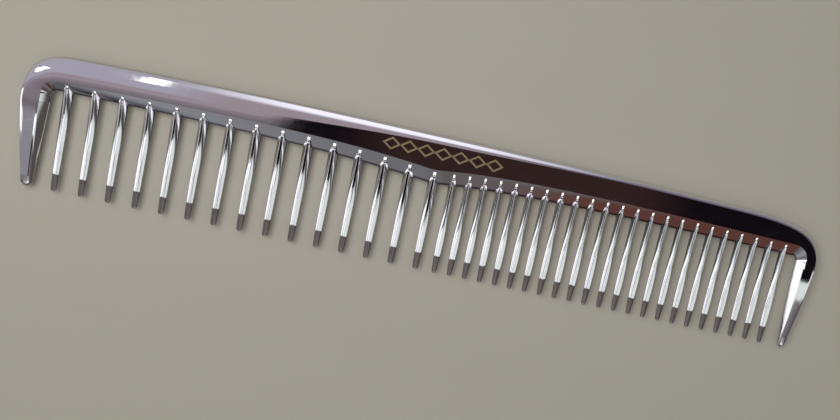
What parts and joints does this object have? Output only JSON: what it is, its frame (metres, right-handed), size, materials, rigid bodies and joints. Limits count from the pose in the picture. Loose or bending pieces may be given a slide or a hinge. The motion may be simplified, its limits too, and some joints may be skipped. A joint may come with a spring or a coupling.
{
  "type": "wide tooth comb",
  "caption": "Chrome-plated two-section dressing comb: wide-set and close-set tapered teeth under a rounded spine with an end guard at each end.",
  "frame": {"origin": "bottom centre of the bounding box: centre of the comb's length and height in the plane its back land lies on", "axes": "+X along the comb from the wide-tooth end to the close-tooth end, +Y from the tooth tips towards the spine, +Z out of the front face"},
  "size_m": [0.1924, 0.0328, 0.0041],
  "materials": {
    "chrome_plating": "mirror-bright plating over moulded plastic",
    "gold_foil": "matt gold hot-stamped foil"
  },
  "bodies": {
    "root": {"spine": "chrome_plating", "end_guard_wide": "chrome_plating", "end_guard_fine": "chrome_plating", "wide_tooth_01": "chrome_plating", "wide_tooth_02": "chrome_plating", "wide_tooth_03": "chrome_plating", "wide_tooth_04": "chrome_plating", "wide_tooth_05": "chrome_plating", "wide_tooth_06": "chrome_plating", "wide_tooth_07": "chrome_plating", "wide_tooth_08": "chrome_plating", "wide_tooth_09": "chrome_plating", "wide_tooth_10": "chrome_plating", "wide_tooth_11": "chrome_plating", "wide_tooth_12": "chrome_plating", "wide_tooth_13": "chrome_plating", "wide_tooth_14": "chrome_plating", "wide_tooth_15": "chrome_plating", "fine_tooth_01": "chrome_plating", "fine_tooth_02": "chrome_plating", "fine_tooth_03": "chrome_plating", "fine_tooth_04": "chrome_plating", "fine_tooth_05": "chrome_plating", "fine_tooth_06": "chrome_plating", "fine_tooth_07": "chrome_plating", "fine_tooth_08": "chrome_plating", "fine_tooth_09": "chrome_plating", "fine_tooth_10": "chrome_plating", "fine_tooth_11": "chrome_plating", "fine_tooth_12": "chrome_plating", "fine_tooth_13": "chrome_plating", "fine_tooth_14": "chrome_plating", "fine_tooth_15": "chrome_plating", "fine_tooth_16": "chrome_plating", "fine_tooth_17": "chrome_plating", "fine_tooth_18": "chrome_plating", "fine_tooth_19": "chrome_plating", "fine_tooth_20": "chrome_plating", "fine_tooth_21": "chrome_plating", "fine_tooth_22": "chrome_plating", "fine_tooth_23": "chrome_plating", "foil_ornament": "gold_foil"}
  },
  "joints": []
}
